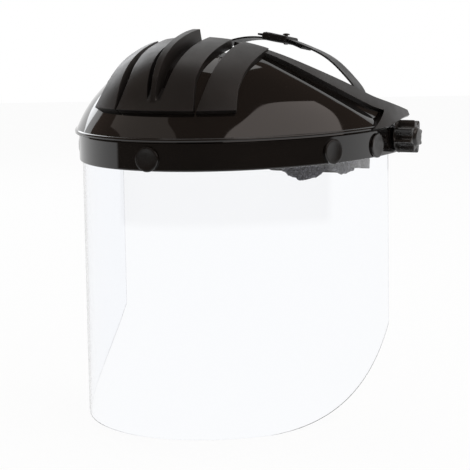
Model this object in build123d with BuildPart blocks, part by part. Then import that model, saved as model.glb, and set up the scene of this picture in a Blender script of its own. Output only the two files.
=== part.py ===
import os
from math import cos, radians, sin, sqrt

from build123d import *

os.makedirs("parts", exist_ok=True)

# ---- driving sizes, mm: wearer looks along -Y, the wearer's left is +X, up is +Z ----
band_half = 122.0  # half width of the window band, outside
band_deep = 172.0  # widest line of the band to its front
plan_mid = -22.0  # Y of that widest line
rear_end = 16.0  # Y where the band and the crown stop
band_tall = 21.0
band_wall = 2.2
layer_gap = 0.2
window_wall = 1.5
window_drop = 199.0  # below the band's lower edge
window_back = -22.0  # Y of the window's rear edges
skirt_wall = 2.2
skirt_low = 2.0
crown_base = 21.4
shelf_tall = 2.8
crown_wall = 2.8
rim_out = 3.0  # how far the crown's rim overhangs the band
stud_radius = 9.4
stud_height = 9.0
stud_thick = 1.7
shank_radius = 2.5
pivot_y = -11.0
pivot_z = 13.0
bolt_radius = 3.0
pin_clearance = 0.07
tilt = 7.5  # the harness hangs this much lower at the back
harness_half = 79.0
harness_deep = 100.0
harness_mid = 11.0  # from the pivots back to the middle of the head
headband_wall = 2.0
strap_wall = 1.5
crown_strap_wide = 20.0
pinion_radius = 5.2
rack_line = harness_mid + harness_deep - 1.0  # how far the toothed straps lie behind the pivots
rack_mid = -14.5  # height of the pinion over the pivots
knob_radius = 13.5
knob_face = band_half + 0.5  # where the knob meets the side of the band
knob_depth = 16.5
ear_radius = 10.5  # bearing boss inside each end of the crown
ear_tall = 5.7
ear_outer = band_half - band_wall - 1.6
ear_inner = ear_outer - ear_tall
washer_wall = 1.9
washer_face = ear_inner - 0.4 - washer_wall
bracket_tip = washer_face - 0.2
bracket_base = harness_half + 0.5
strap_travel = 4.5  # how far the ratchet draws in each toothed strap
housing_half = 41.0

skirt_out = band_wall + window_wall + 2 * layer_gap
skirt_in = skirt_out + skirt_wall
window_out = band_wall + layer_gap
window_in = window_out + window_wall

# the harness frame: X across, V back along the head, W up, through the pivots
harness = Plane(
    origin=(0, pivot_y, pivot_z),
    x_dir=(1, 0, 0),
    z_dir=(0, sin(radians(tilt)), cos(radians(tilt))),
)


def harness_point(x, v, w):
    return harness.from_local_coords(Vector(x, v, w))


def outward_plane(x, v=0.0, w=0.0):
    # a plane facing +X at height x, its own axes running along V and W
    return Plane(origin=harness_point(x, v, w), x_dir=harness.y_dir, z_dir=(1, 0, 0))


def rearward_plane(v):
    # a plane facing backward, its own axes running along -X and W
    return Plane(origin=harness_point(0, v, 0), x_dir=(-1, 0, 0), z_dir=harness.y_dir)


def over_head_plane(v):
    # a plane facing forward at V, its own axes running along X and W
    return Plane(origin=harness_point(0, v, 0), x_dir=(1, 0, 0), z_dir=-harness.y_dir)


def plan_ellipse(inward, floor):
    with BuildSketch(Plane.XY.offset(floor)) as plan:
        with Locations((0, plan_mid)):
            Ellipse(band_half - inward, band_deep - inward)
    return plan.sketch


def wall_ring(outer, inner, low, high, back):
    # an elliptical wall between two offsets of the plan, cut off square at the back
    with BuildPart() as ring:
        extrude(plan_ellipse(outer, low), amount=high - low)
        extrude(plan_ellipse(inner, low), amount=high - low, mode=Mode.SUBTRACT)
        with BuildSketch(Plane.XY.offset(low)):
            with Locations((0, back + band_deep / 2)):
                Rectangle(4 * band_half, band_deep)
        extrude(amount=high - low, mode=Mode.SUBTRACT)
    return ring.part


def side_prism(points, half_width):
    # a closed outline in the Y-Z plane carried right across the piece along X
    with BuildPart() as prism:
        with BuildSketch(Plane.YZ):
            with BuildLine():
                Polyline(*points, close=True)
            make_face()
        extrude(amount=half_width, both=True)
    return prism.part


def front_prism(points):
    # a closed outline in the X-Z plane carried forward through the crown
    with BuildPart() as prism:
        with BuildSketch(Plane.XZ):
            with BuildLine():
                Polyline(*points, close=True)
            make_face()
        extrude(amount=band_deep + 60)
    return prism.part


def stud_frame(side, back):
    # plane tangent to the band at one stud: it faces outward from the band
    across = side * band_half * sqrt(1 - ((back - plan_mid) / band_deep) ** 2)
    out = Vector(across / band_half**2, (back - plan_mid) / band_deep**2, 0).normalized()
    return Plane(origin=(across, back, stud_height), x_dir=(-out.Y, out.X, 0), z_dir=out)


front_y = plan_mid - band_deep
stud_places = {
    "front": (0, front_y),
    "left_fore": (1, -103.5),
    "left_aft": (1, -49.0),
    "right_fore": (-1, -103.5),
    "right_aft": (-1, -49.0),
}
stud_frames = {key: stud_frame(*place) for key, place in stud_places.items()}


def stud_holes(reach):
    # five round cutters, one through each stud's place
    with BuildPart() as cutters:
        for frame in stud_frames.values():
            with BuildSketch(frame.offset(-reach)):
                Circle(shank_radius + 0.3)
            extrude(amount=2 * reach)
    return cutters.part


# ---- crown: moulded dome with raised ribs, open behind, with a skirt behind the window ----
# half widths and depths of the dome at each height, the smooth skin and the raised ribs
skin_levels = [
    (crown_base, band_half + rim_out, band_deep + rim_out),
    (32, band_half - 1.5, band_deep - 3.5),
    (46, band_half - 10.5, band_deep - 13.0),
    (58, band_half - 23.5, band_deep - 19.5),
    (69, band_half - 38.0, band_deep - 27.0),
    (78.5, band_half - 52.0, band_deep - 39.5),
    (85.5, band_half - 66.0, band_deep - 59.0),
    (90, band_half - 84.0, band_deep - 86.0),
]
rib_rise = 4.6


def pivot_cylinders(radius, near, far):
    # the same cylinder on the pivot axis at both sides of the crown
    with BuildPart() as pair:
        for side in (1, -1):
            with BuildSketch(Plane(origin=(side * near, pivot_y, pivot_z), z_dir=(side, 0, 0))):
                Circle(radius)
            extrude(amount=far - near)
    return pair.part


def dome(grow, lift, floor_drop):
    with BuildPart() as body:
        for height, half, deep in skin_levels:
            low = height - floor_drop if height == crown_base else height + lift
            with BuildSketch(Plane.XY.offset(low)):
                with Locations((0, plan_mid)):
                    Ellipse(half + grow, deep + grow)
        loft()
    return body.part


rail_top = (front_y + 84.0, 89.5)  # Y and Z where the opening's slanted edge starts
rail_mid = (rear_end - 62.0, 45.5)
rail_end = (rear_end, 29.5)
rib_floor = 41.0
opening_outline = [
    (rail_top[0], 140),
    rail_top,
    rail_mid,
    rail_end,
    (rear_end, -20),
    (220, -20),
    (220, 140),
]
strip_outline = [
    rail_top,
    rail_mid,
    rail_end,
    (rear_end, crown_base),
    (rail_mid[0] - 18, crown_base),
    (rail_mid[0] + 13, rail_mid[1] - 12),
    (rail_mid[0] - 17, rail_mid[1] - 1.5),
    (rail_top[0] + 10, rail_top[1] - 17),
    (rail_top[0] - 6, rail_top[1] - 9),
    (rail_top[0] - 6, rail_top[1] + 12),
]
outer_rib = [
    (32.5, rib_floor),
    (56.5, rib_floor),
    (53, 56),
    (52, 65),
    (52.5, 100),
    (35, 100),
    (35, 76),
    (34, 60),
]
inner_rib = [
    (0, rib_floor),
    (30.5, rib_floor),
    (28, 52),
    (26, 63),
    (27.5, 82),
    (27, 100),
    (9.5, 100),
    (10.5, 81),
    (9, 72),
    (5, 50),
    (0, 50),
]
fin_outline = [(-2.2, 48), (2.2, 48), (2.2, 74), (3.2, 112), (-3.2, 112), (-2.2, 74)]
vent_outline = [(28.2, 80), (34.2, 80), (34.2, 112), (28.2, 112)]
vent_front = rail_top[0] - 16
vent_rear = rail_top[0] + 18
vent_side = [(vent_front, 70), (vent_rear, 70), (vent_rear, 120), (vent_front, 120)]


def mirrored(points):
    return [(-x, z) for x, z in points]


skin = dome(0, 0, 0)
hollow = dome(-crown_wall, -crown_wall, 1)
raised = dome(rib_rise * 0.72, rib_rise * 0.86, 0)
fin_body = dome(rib_rise * 1.3, rib_rise * 1.9, 0)
strip_body = dome(1.4, 1.2, 0)
opening = side_prism(opening_outline, 2 * band_half)

with BuildPart() as crown_shell:
    add(skin)
    for outline in (outer_rib, inner_rib, mirrored(outer_rib), mirrored(inner_rib)):
        add(raised & front_prism(outline))
    add(fin_body & front_prism(fin_outline))
    add(strip_body & side_prism(strip_outline, 2 * band_half))
    add(hollow, mode=Mode.SUBTRACT)
    for outline in (vent_outline, mirrored(vent_outline)):
        add(front_prism(outline) & side_prism(vent_side, 90),
            mode=Mode.SUBTRACT)
    add(wall_ring(-rim_out, skirt_in, crown_base, crown_base + shelf_tall, 60))
    add(wall_ring(skirt_out, skirt_in, skirt_low, crown_base + 1, 60))
    add(pivot_cylinders(ear_radius, ear_inner, ear_outer))
    add(opening, mode=Mode.SUBTRACT)
    add(pivot_cylinders(knob_radius + 0.9, knob_face - 0.9, band_half + 8), mode=Mode.SUBTRACT)
    add(stud_holes(12), mode=Mode.SUBTRACT)
    add(pivot_cylinders(bolt_radius + pin_clearance, 100, 130), mode=Mode.SUBTRACT)
crown_shell.part.label = "crown_shell"

# ---- band, window and the studs that clamp the window between band and skirt ----
with BuildPart() as window_band:
    add(wall_ring(0, band_wall, 0, band_tall, rear_end))
    add(stud_holes(8), mode=Mode.SUBTRACT)
    add(pivot_cylinders(bolt_radius + 0.4, 100, 130), mode=Mode.SUBTRACT)
window_band.part.label = "window_band"

# the window's lower corner: an arc from its bottom edge up to its rear edge, in Y and Z
corner_low = (front_y + 42.0, -window_drop)
corner_mid = (window_back - 50.0, -window_drop + 24.0)
corner_high = (window_back, -window_drop + 66.0)
with BuildPart() as window:
    add(wall_ring(window_out, window_in, -window_drop, band_tall, window_back))
    with BuildSketch(Plane.YZ):
        with BuildLine():
            ThreePointArc(corner_low, corner_mid, corner_high)
            Polyline(corner_high, (20, corner_high[1]), (20, corner_low[1] - 40),
                     (corner_low[0], corner_low[1] - 40), corner_low)
        make_face()
    extrude(amount=2 * band_half, both=True, mode=Mode.SUBTRACT)
    add(stud_holes(8), mode=Mode.SUBTRACT)
window.part.label = "window"

studs = {}
stud_nuts = {}
for key, frame in stud_frames.items():
    with BuildPart() as stud:
        with BuildSketch(frame.offset(0.05)):
            Circle(stud_radius)
        extrude(amount=stud_thick)
        fillet(stud.faces().sort_by(Axis(frame.origin, frame.z_dir))[-1].edges(), 0.5)
        with BuildSketch(frame.offset(0.05)):
            Circle(shank_radius)
        extrude(amount=-(skirt_in + 3.2))
    stud.part.label = "stud_" + key
    studs[key] = stud.part
    with BuildPart() as stud_nut:
        with BuildSketch(frame.offset(-(skirt_in + 0.5))):
            Circle(6)
            Circle(shank_radius + 0.05, mode=Mode.SUBTRACT)
        extrude(amount=-2.4)
    stud_nut.part.label = "stud_nut_" + key
    stud_nuts[key] = stud_nut.part


# ---- side pivots: bracket on the headband, carriage bolt, washer and fluted knob ----
with BuildPart() as pivot_bracket_left:
    with BuildSketch(outward_plane(bracket_base, -9, -2)):
        RectangleRounded(26, 22, 5)
    with BuildSketch(outward_plane(bracket_tip)):
        RectangleRounded(22, 20, 8)
    loft()
    with BuildSketch(outward_plane(bracket_base)):
        Circle(bolt_radius + 0.05)
    extrude(amount=40, mode=Mode.SUBTRACT)
    with BuildSketch(outward_plane(bracket_base)):
        Circle(7.5)
    extrude(amount=7, mode=Mode.SUBTRACT)
pivot_bracket_left.part.label = "pivot_bracket_left"

with BuildPart() as pivot_bolt_left:
    with BuildSketch(outward_plane(bracket_base + 2.4)):
        Circle(6.5)
    extrude(amount=4.5)
    with BuildSketch(outward_plane(bracket_base + 2.4)):
        Circle(bolt_radius)
    extrude(amount=knob_face + 12.4 - bracket_base - 2.4)
pivot_bolt_left.part.label = "pivot_bolt_left"

with BuildPart() as friction_washer_left:
    with BuildSketch(outward_plane(washer_face)):
        Circle(10.5)
        Circle(bolt_radius + 0.05, mode=Mode.SUBTRACT)
    extrude(amount=washer_wall)
friction_washer_left.part.label = "friction_washer_left"

with BuildPart() as pivot_knob_left:
    with BuildSketch(outward_plane(knob_face)):
        Circle(knob_radius)
        with PolarLocations(knob_radius - 0.8, 8, start_angle=22.5):
            Circle(4.2, mode=Mode.SUBTRACT)
    extrude(amount=knob_depth)
    with BuildSketch(outward_plane(knob_face)):
        Circle(knob_radius - 2)
    extrude(amount=2)
    with BuildSketch(outward_plane(knob_face + knob_depth)):
        Circle(8)
    extrude(amount=1.6, taper=25)
    with BuildSketch(outward_plane(knob_face)):
        Circle(bolt_radius + pin_clearance)
    extrude(amount=14, mode=Mode.SUBTRACT)
pivot_knob_left.part.label = "pivot_knob_left"


def other_side(source, name):
    with BuildPart() as twin:
        mirror(source, about=Plane.YZ)
    twin.part.label = name
    return twin.part


# ---- headband with its ear plates ----
ring_low = -27.5
plate_top = 16.0
headband_outline = [
    (-150, ring_low),
    (46, ring_low + 2),
    (46, -7.5),
    (34, 10),
    (30, plate_top),
    (0, plate_top),
    (-24, 0.5),
    (-150, 0.5),
]
rivet_v = 17.0
rivet_w = 8.0


def harness_ring(half, deep, low, tall):
    with BuildSketch(harness.offset(low)) as ring:
        with Locations((0, harness_mid)):
            Ellipse(half, deep)
    with BuildPart() as body:
        extrude(ring.sketch, amount=tall)
    return body.part


def harness_prism(points):
    with BuildPart() as prism:
        with BuildSketch(outward_plane(0)):
            with BuildLine():
                Polyline(*points, close=True)
            make_face()
        extrude(amount=2 * harness_half, both=True)
    return prism.part


with BuildPart() as headband:
    add(harness_ring(harness_half, harness_deep, ring_low, plate_top - ring_low))
    add(
        harness_ring(
            harness_half - headband_wall,
            harness_deep - headband_wall,
            ring_low,
            plate_top - ring_low,
        ),
        mode=Mode.SUBTRACT,
    )
    add(harness_prism(headband_outline), mode=Mode.INTERSECT)
    with BuildSketch(outward_plane(0, rivet_v, rivet_w)):
        Circle(2.3)
    extrude(amount=2 * harness_half, both=True, mode=Mode.SUBTRACT)
headband.part.label = "headband"

pad_low = -32.0
pad_tall = 36.5
pad_thick = 5.2
pad_gap = 0.35
pad_half = harness_half - headband_wall - pad_gap
pad_deep = harness_deep - headband_wall - pad_gap
with BuildPart() as sweatband:
    add(harness_ring(pad_half, pad_deep, pad_low, pad_tall))
    add(harness_ring(pad_half - pad_thick, pad_deep - pad_thick, pad_low, pad_tall), mode=Mode.SUBTRACT)
    add(
        harness_prism([(-150, -60), (34, -60), (34, 60), (-150, 60)]),
        mode=Mode.INTERSECT,
    )
sweatband.part.label = "sweatband"


# ---- strap over the head in two halves, with a sliding buckle and a pin ----
def over_strap(points, name):
    with BuildPart() as strap:
        with BuildSketch(over_head_plane(rivet_v + crown_strap_wide / 2)):
            with BuildLine():
                Spline(*points)
            trace(line_width=strap_wall)
        extrude(amount=crown_strap_wide)
        with BuildSketch(outward_plane(0, rivet_v, rivet_w)):
            Circle(2.3)
        extrude(amount=2 * harness_half, both=True, mode=Mode.SUBTRACT)
        with BuildSketch(harness):
            with Locations((pin_x, rivet_v)):
                Circle(1.8)
        extrude(amount=120, mode=Mode.SUBTRACT)
    strap.part.label = name
    return strap.part


strap_foot = harness_half + 2.1  # the straps' lower ends stand this far out, against the headband
near_line = [
    (strap_foot, -1),
    (strap_foot, 12),
    (harness_half + 5.7, 30),
    (harness_half - 5.4, 46.7),
    (harness_half - 23.5, 61.8),
    (34, 71.4),
    (21.4, 75.7),
    (10.5, 78.3),
    (2, 79.7),
    (-5, 80.2),
]
far_line = [
    (-strap_foot, -1),
    (-strap_foot, 12),
    (-harness_half - 5.7, 28),
    (-harness_half + 5, 47),
    (-harness_half + 19, 61.5),
    (-36.7, 72.6),
    (-22, 76.6),
    (-8, 77.7),
    (2, 77.0),
    (10.5, 75.9),
    (21.4, 73.6),
    (34, 69.0),
]
pin_x = 16.0
buckle_spot = (10.5, 77.1)
buckle_slope = -9.0
crown_strap_left = over_strap(near_line, "crown_strap_left")
crown_strap_right = over_strap(far_line, "crown_strap_right")

buckle_mouth = 2 * strap_wall + 2.6
with BuildPart() as strap_buckle:
    with BuildSketch(over_head_plane(rivet_v + crown_strap_wide / 2 + 2.5)):
        with Locations(buckle_spot):
            RectangleRounded(22, buckle_mouth + 2.2, 1.6, rotation=buckle_slope)
    extrude(amount=crown_strap_wide + 5)
    with BuildSketch(over_head_plane(rivet_v + crown_strap_wide / 2 + 0.5)):
        with Locations(buckle_spot):
            Rectangle(30, buckle_mouth, rotation=buckle_slope)
    extrude(amount=crown_strap_wide + 1, mode=Mode.SUBTRACT)
    with BuildSketch(harness):
        with Locations((pin_x, rivet_v)):
            Circle(1.8)
    extrude(amount=120, mode=Mode.SUBTRACT)
strap_buckle.part.label = "strap_buckle"

pin_foot = 69.2
pin_head = 81.4
with BuildPart() as strap_pin:
    with BuildSketch(harness.offset(pin_foot)):
        with Locations((pin_x, rivet_v)):
            Circle(3.4)
    extrude(amount=1.4)
    with BuildSketch(harness.offset(pin_foot)):
        with Locations((pin_x, rivet_v)):
            Circle(1.6)
    extrude(amount=pin_head - pin_foot)
    with BuildSketch(harness.offset(pin_head)):
        with Locations((pin_x, rivet_v)):
            Circle(3.6)
    extrude(amount=1.3)
strap_pin.part.label = "strap_pin"

with BuildPart() as strap_rivet_left:
    with BuildSketch(outward_plane(harness_half - 1.6, rivet_v, rivet_w)):
        Circle(2.2)
    extrude(amount=6)
    with BuildSketch(outward_plane(strap_foot + strap_wall / 2 + 0.15, rivet_v, rivet_w)):
        Circle(4.2)
    extrude(amount=1.3)
strap_rivet_left.part.label = "strap_rivet_left"

# ---- rear adjuster: two toothed straps, a pinion between them, its housing and its knob ----
rack_depth = 3.8
tooth_pitch = 3.0
tooth_rise = 0.6
rack_reach = pinion_radius + 0.4 + tooth_rise + rack_depth  # from the pinion to a strap's edge
strap_low = rack_mid - rack_reach
strap_high = rack_mid + rack_reach
tooth_count = 14
bar_root = 36.0  # where the full strap narrows to its toothed bar
bar_tip = 2 * strap_travel + 1.0 - bar_root  # clear of the other strap when both are drawn in
straight_end = housing_half + strap_travel + 1.5


def inside_ring(v):
    # half width just inside the headband at V, where the middle of a strap lies
    share = (v - harness_mid) / (harness_deep - headband_wall)
    return (harness_half - headband_wall) * sqrt(1 - share**2) - strap_wall / 2 - 0.6


rear_line = [
    (inside_ring(37), 37),
    (inside_ring(46), 46),
    (harness_half - 10.0, rack_line - 50),
    (harness_half - 13.0, rack_line - 28),
    (harness_half - 18.5, rack_line - 13),
]


def rear_strap(name, side):
    # the left strap carries the upper rack, the right one the lower rack
    bar_low = strap_high - rack_depth if side > 0 else strap_low
    tooth_base = bar_low if side > 0 else strap_low + rack_depth
    with BuildPart() as strap:
        with BuildSketch(harness.offset(strap_low)):
            with BuildLine():
                Spline(*[(side * x, v) for x, v in rear_line], (side * straight_end, rack_line),
                       tangents=[(0, 1), (-side, 0)])
                Line((side * straight_end, rack_line), (side * bar_root, rack_line))
            trace(line_width=strap_wall)
        extrude(amount=strap_high - strap_low)
        with BuildSketch(rearward_plane(rack_line - strap_wall / 2)):
            with Locations((-side * (bar_root + 2 + bar_tip) / 2, bar_low + rack_depth / 2)):
                Rectangle(bar_root + 2 - bar_tip, rack_depth)
            with Locations((0, tooth_base)):
                with GridLocations(tooth_pitch, 1, tooth_count, 1):
                    Rectangle(tooth_pitch / 2, 2 * tooth_rise)
        extrude(amount=strap_wall)
    strap.part.label = name
    return strap.part


rear_strap_left = rear_strap("rear_strap_left", 1)
rear_strap_right = rear_strap("rear_strap_right", -1)

housing_face = rack_line - 3.5
housing_back = rack_line + 5.5
slot_half = strap_wall / 2 + 0.4
with BuildPart() as ratchet_housing:
    with BuildSketch(rearward_plane(housing_face)):
        with Locations((0, rack_mid)):
            RectangleRounded(2 * housing_half, strap_high - strap_low + 9, 9)
    extrude(amount=housing_back - housing_face)
    with BuildSketch(rearward_plane(rack_line - slot_half)):
        with Locations((0, rack_mid)):
            Rectangle(2 * housing_half + 4, strap_high - strap_low + 1)
    extrude(amount=2 * slot_half, mode=Mode.SUBTRACT)
    with BuildSketch(rearward_plane(rack_line)):
        with Locations((0, rack_mid)):
            Circle(2.2 + pin_clearance)
    extrude(amount=10, mode=Mode.SUBTRACT)
ratchet_housing.part.label = "ratchet_housing"

with BuildPart() as ratchet_pinion:
    with BuildSketch(rearward_plane(rack_line - strap_wall / 2)):
        with Locations((0, rack_mid)):
            Circle(pinion_radius - 1)
            with PolarLocations(pinion_radius - 1.2, 10):
                Rectangle(2.4, 1.5)
    extrude(amount=strap_wall)
    with BuildSketch(rearward_plane(rack_line)):
        with Locations((0, rack_mid)):
            Circle(2.2)
    extrude(amount=17)
ratchet_pinion.part.label = "ratchet_pinion"

with BuildPart() as detent_spring:
    with BuildSketch(rearward_plane(housing_back + 0.15)):
        with Locations((0, rack_mid)):
            Circle(10)
            Circle(7, mode=Mode.SUBTRACT)
    extrude(amount=0.6)
detent_spring.part.label = "detent_spring"

with BuildPart() as ratchet_knob:
    with BuildSketch(rearward_plane(housing_back + 1.3)):
        with Locations((0, rack_mid)):
            Circle(17.5)
            with PolarLocations(18.6, 14):
                Circle(2.4, mode=Mode.SUBTRACT)
    extrude(amount=14)
    with BuildSketch(rearward_plane(housing_back + 1.3)):
        with Locations((0, rack_mid)):
            Circle(2.25)
    extrude(amount=11, mode=Mode.SUBTRACT)
ratchet_knob.part.label = "ratchet_knob"

cradle_face = housing_face - 3.1
with BuildPart() as nape_cradle:
    with BuildSketch(rearward_plane(cradle_face)):
        with Locations((0, rack_mid - 1)):
            RectangleRounded(70, 24, 11)
    extrude(amount=2)
    with BuildSketch(rearward_plane(cradle_face + 2)):
        with Locations((25, rack_mid), (-25, rack_mid)):
            Circle(4)
    extrude(amount=housing_face - cradle_face - 2.05)
nape_cradle.part.label = "nape_cradle"

with BuildPart() as nape_pad:
    with BuildSketch(rearward_plane(cradle_face - 0.3)):
        with Locations((0, rack_mid - 1)):
            Ellipse(29, 22)
    extrude(amount=-9.5)
    fillet(nape_pad.faces().sort_by(Axis.Y)[0].edges(), 3)
    fillet(nape_pad.faces().sort_by(Axis.Y)[-1].edges(), 2)
nape_pad.part.label = "nape_pad"

pieces = [crown_shell.part, window_band.part, window.part]
pieces += list(studs.values())
pieces += list(stud_nuts.values())
paired = [pivot_bracket_left, pivot_bolt_left, friction_washer_left]
paired += [pivot_knob_left, strap_rivet_left]
for left in paired:
    pieces.append(left.part)
    pieces.append(other_side(left.part, left.part.label.replace("_left", "_right")))
pieces += [headband.part, sweatband.part, crown_strap_left, crown_strap_right]
pieces += [strap_buckle.part, strap_pin.part, rear_strap_left, rear_strap_right]
pieces += [ratchet_housing.part, ratchet_pinion.part, detent_spring.part, ratchet_knob.part]
pieces += [nape_cradle.part, nape_pad.part]
for piece in pieces:
    export_step(piece, f"parts/{piece.label}.step")
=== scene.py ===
import math
import bmesh
import bpy
import numpy as np
from mathutils import Matrix, Vector


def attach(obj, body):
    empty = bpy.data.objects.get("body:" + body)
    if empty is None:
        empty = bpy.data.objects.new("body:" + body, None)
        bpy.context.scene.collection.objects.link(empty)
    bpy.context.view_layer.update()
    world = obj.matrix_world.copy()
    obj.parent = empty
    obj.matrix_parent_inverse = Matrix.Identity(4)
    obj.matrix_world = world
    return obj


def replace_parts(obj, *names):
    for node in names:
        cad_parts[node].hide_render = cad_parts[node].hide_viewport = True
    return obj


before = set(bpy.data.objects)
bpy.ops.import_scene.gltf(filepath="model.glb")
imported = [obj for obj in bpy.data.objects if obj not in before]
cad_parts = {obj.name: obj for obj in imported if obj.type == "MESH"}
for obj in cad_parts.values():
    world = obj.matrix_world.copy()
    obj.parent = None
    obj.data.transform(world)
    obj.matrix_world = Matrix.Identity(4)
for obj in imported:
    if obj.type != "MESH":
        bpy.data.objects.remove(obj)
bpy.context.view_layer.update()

mm = 0.001


def makeMesh(name, points, faces, material, body, sharpAngle=35.0, uv=None):
    # points n by 3 in millimetres, faces as index rows; shading is smooth below the sharp angle
    mesh = bpy.data.meshes.new(name)
    mesh.from_pydata((np.asarray(points, float) * mm).tolist(), [], [list(map(int, f)) for f in faces])
    if uv is not None:
        layer = mesh.uv_layers.new(name="UVMap")
        loops = np.empty(len(mesh.loops), np.int32)
        mesh.loops.foreach_get("vertex_index", loops)
        layer.data.foreach_set("uv", np.asarray(uv, float)[loops].ravel())
    tool = bmesh.new()
    tool.from_mesh(mesh)
    bmesh.ops.remove_doubles(tool, verts=tool.verts, dist=1e-6)
    bmesh.ops.dissolve_degenerate(tool, dist=1e-7, edges=tool.edges)
    bmesh.ops.recalc_face_normals(tool, faces=tool.faces)
    tool.to_mesh(mesh)
    tool.free()
    mesh.polygons.foreach_set("use_smooth", np.ones(len(mesh.polygons), bool))
    mesh.set_sharp_from_angle(angle=math.radians(sharpAngle))
    mesh.materials.append(material)
    thing = bpy.data.objects.new(name, mesh)
    bpy.context.scene.collection.objects.link(thing)
    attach(thing, body)
    return thing


def gridFaces(rows, cols, start=0, wrapRows=False, wrapCols=False, flip=False):
    # quads between neighbouring grid points; point (i, j) has index start + i * cols + j
    i, j = np.meshgrid(np.arange(rows if wrapRows else rows - 1), np.arange(cols if wrapCols else cols - 1), indexing="ij")
    a, b = i * cols + j, i * cols + (j + 1) % cols
    c, d = ((i + 1) % rows) * cols + (j + 1) % cols, ((i + 1) % rows) * cols + j
    quads = np.stack([a, b, c, d], -1).reshape(-1, 4) + start
    return quads[:, ::-1] if flip else quads


def shellGrid(outer, inner):
    # two grids of the same shape, one each side of a wall, closed by strips round all four borders
    rows, cols = outer.shape[:2]
    count = rows * cols
    points = np.concatenate([outer.reshape(-1, 3), inner.reshape(-1, 3)])
    index = np.arange(count).reshape(rows, cols)
    border = np.concatenate([index[0, :-1], index[:-1, -1], index[-1, :0:-1], index[:0:-1, 0]])
    after = np.roll(border, -1)
    strip = np.stack([border, after, after + count, border + count], -1)
    faces = np.concatenate([gridFaces(rows, cols), gridFaces(rows, cols, count, flip=True), strip])
    return points, faces


def sweptGrid(path, across, up, profile, closed=False):
    # a closed profile carried along a path: point = path + across * profile x + up * profile y, ends capped
    grid = path[:, None] + across[:, None] * profile[None, :, :1] + up[:, None] * profile[None, :, 1:]
    rows, cols = grid.shape[:2]
    faces = gridFaces(rows, cols, wrapRows=closed, wrapCols=True).tolist()
    if not closed:
        faces += [list(range(cols))[::-1], list(range((rows - 1) * cols, rows * cols))]
    return grid.reshape(-1, 3), faces


def roundedLoop(width, height, radius, steps=5):
    # closed outline of a rectangle width by height, its corners quarter circles of the radius, with a point beside each so that the flats shade flat
    angle = np.linspace(0, math.pi / 2, steps)
    parts = []
    for k, (sx, sy) in enumerate(((1, 1), (-1, 1), (-1, -1), (1, -1))):
        turn = angle + k * math.pi / 2
        arc = np.stack([sx * (width / 2 - radius) + radius * np.cos(turn), sy * (height / 2 - radius) + radius * np.sin(turn)], -1)
        into = np.array([-math.sin(turn[0]), math.cos(turn[0])]) * 0.25
        outOf = np.array([-math.sin(turn[-1]), math.cos(turn[-1])]) * 0.25
        parts.append(np.concatenate([arc[:1] - into, arc, arc[-1:] + outOf]))
    return np.concatenate(parts)


def cappedTube(rows, cols):
    # quads round a tube of rings, and one polygon closing each end
    ends = [list(range(cols))[::-1], list(range((rows - 1) * cols, rows * cols))]
    return gridFaces(rows, cols, wrapCols=True).tolist() + ends


def lathedGrid(radii, heights, turns, radiusScale=None):
    # rings of points round an axis: (r cos t, r sin t, h); the scale array bends each ring out of round
    angle = np.linspace(0, 2 * math.pi, turns, endpoint=False)
    scale = np.ones((len(radii), turns)) if radiusScale is None else radiusScale
    ring = np.asarray(radii)[:, None] * scale
    grid = np.stack([ring * np.cos(angle), ring * np.sin(angle), np.repeat(np.asarray(heights)[:, None], turns, 1)], -1)
    return grid.reshape(-1, 3), gridFaces(len(radii), turns, wrapCols=True)


def placed(points, origin, xDir, yDir, zDir):
    # local x, y, z carried to the three directions from the origin
    return np.asarray(origin) + points @ np.stack([xDir, yDir, zDir])


def smoothLine(knots, count):
    # natural cubic spline through the knots, with arc length as its parameter, at evenly spaced places
    knots = np.asarray(knots, float)
    place = np.concatenate([[0], np.cumsum(np.linalg.norm(np.diff(knots, axis=0), axis=1))])
    return splineAt(place, knots, np.linspace(0, place[-1], count))


def splineAt(place, values, where):
    # natural cubic spline: second derivatives from the tridiagonal system, then the usual cubic on each span
    place, values, where = np.asarray(place, float), np.asarray(values, float), np.asarray(where, float)
    flat = values.reshape(len(place), -1)
    step = np.diff(place)
    system, right = np.eye(len(place)), np.zeros_like(flat)
    for k in range(1, len(place) - 1):
        system[k, k - 1], system[k, k], system[k, k + 1] = step[k - 1], 2 * (step[k - 1] + step[k]), step[k]
        right[k] = 6 * ((flat[k + 1] - flat[k]) / step[k] - (flat[k] - flat[k - 1]) / step[k - 1])
    bend = np.linalg.solve(system, right)
    k = np.clip(np.searchsorted(place, where.ravel()) - 1, 0, len(step) - 1)
    h, a, b = step[k][:, None], (place[k + 1] - where.ravel())[:, None], (where.ravel() - place[k])[:, None]
    value = (bend[k] * a**3 + bend[k + 1] * b**3) / (6 * h) + (flat[k] / h - bend[k] * h / 6) * a + (flat[k + 1] / h - bend[k + 1] * h / 6) * b
    return value.reshape(where.shape + values.shape[1:])


def smoothStep(low, high, value):
    # 0 below low, 1 above high, 3t^2 - 2t^3 between
    t = np.clip((value - low) / (high - low), 0, 1)
    return t * t * (3 - 2 * t)


def latticeNoise(points, cell, seed):
    # value noise: random numbers on a cubic lattice of the cell size, blended by smooth weights
    table = np.random.default_rng(seed).random((32, 32, 32))
    place = np.asarray(points) / cell
    base = np.floor(place).astype(int)
    part = place - base
    part = part * part * (3 - 2 * part)
    total = 0
    for dx in (0, 1):
        for dy in (0, 1):
            for dz in (0, 1):
                weight = abs(1 - dx - part[..., 0]) * abs(1 - dy - part[..., 1]) * abs(1 - dz - part[..., 2])
                total = total + weight * table[(base[..., 0] + dx) % 32, (base[..., 1] + dy) % 32, (base[..., 2] + dz) % 32]
    return total * 2 - 1


def hexColour(code):
    # sRGB hex to linear red, green, blue, alpha
    raw = [int(code[k:k + 2], 16) / 255 for k in (0, 2, 4)]
    return [c / 12.92 if c <= 0.04045 else ((c + 0.055) / 1.055) ** 2.4 for c in raw] + [1.0]


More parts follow.
